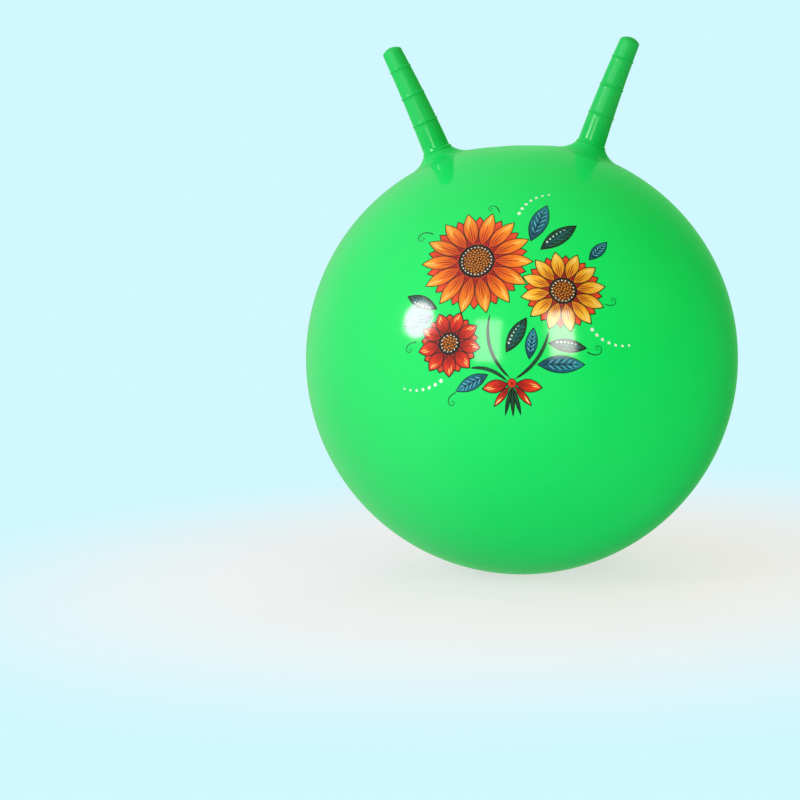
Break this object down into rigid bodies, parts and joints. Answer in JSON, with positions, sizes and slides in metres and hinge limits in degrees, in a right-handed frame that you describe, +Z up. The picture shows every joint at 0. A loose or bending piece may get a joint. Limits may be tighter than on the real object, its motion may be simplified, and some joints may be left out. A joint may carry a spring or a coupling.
{
  "type": "hopper ball",
  "caption": "Inflated bouncing ball to sit on, with a pair of ribbed horns to hold, an air plug at the back and a printed bunch of flowers on the front.",
  "frame": {"origin": "middle of the flat on the ball's underside, where it stands on the floor", "axes": "+Z up, the printed front faces -Y, the air plug faces +Y, the horns spread along X, and right_horn is on +X"},
  "size_m": [0.6498, 0.6529, 0.7972],
  "materials": {
    "green_pvc": "glossy soft PVC, rotationally moulded and dyed through",
    "valve_pvc": "satin injection-moulded PVC, welded into the skin",
    "plug_plastic": "satin white polyethylene",
    "orange_ink": "thin printed ink under a gloss coat",
    "yellow_ink": "thin printed ink under a gloss coat",
    "red_ink": "thin printed ink under a gloss coat",
    "brown_ink": "thin printed ink under a gloss coat",
    "dark_green_ink": "thin printed ink under a gloss coat",
    "teal_ink": "thin printed ink under a gloss coat",
    "pale_ink": "thin printed ink under a gloss coat"
  },
  "bodies": {
    "ball": {"ball_skin": "green_pvc", "left_horn_root": "green_pvc", "right_horn_root": "green_pvc", "valve_seat": "valve_pvc", "print_orange_petals": "orange_ink", "print_yellow_petals": "yellow_ink", "print_red_petals": "red_ink", "print_red_bow": "red_ink", "print_brown_hearts": "brown_ink", "print_dark_stems": "dark_green_ink", "print_dark_leaves": "dark_green_ink", "print_teal_leaves": "teal_ink", "print_white_dots": "pale_ink"},
    "left_horn": {"left_horn": "green_pvc"},
    "right_horn": {"right_horn": "green_pvc"},
    "plug": {"air_plug": "plug_plastic"}
  },
  "joints": [
    {"name": "left_horn_flex", "type": "hinge", "parent": "ball", "child": "left_horn", "pos_m": [-0.1133, 0, 0.63518], "axis": [0.9403, 0, 0.3404], "range_deg": [-25, 25], "stiffness_Nm_per_rad": 3, "deforming": ["left_horn_root"]},
    {"name": "right_horn_flex", "type": "hinge", "parent": "ball", "child": "right_horn", "pos_m": [0.1133, 0, 0.63518], "axis": [0.9403, 0, -0.3404], "range_deg": [-25, 25], "stiffness_Nm_per_rad": 3, "deforming": ["right_horn_root"]},
    {"name": "air_plug_pull", "type": "slide", "parent": "ball", "child": "plug", "axis": [0, 1, 0], "range_m": [0, 0.035]}
  ]
}
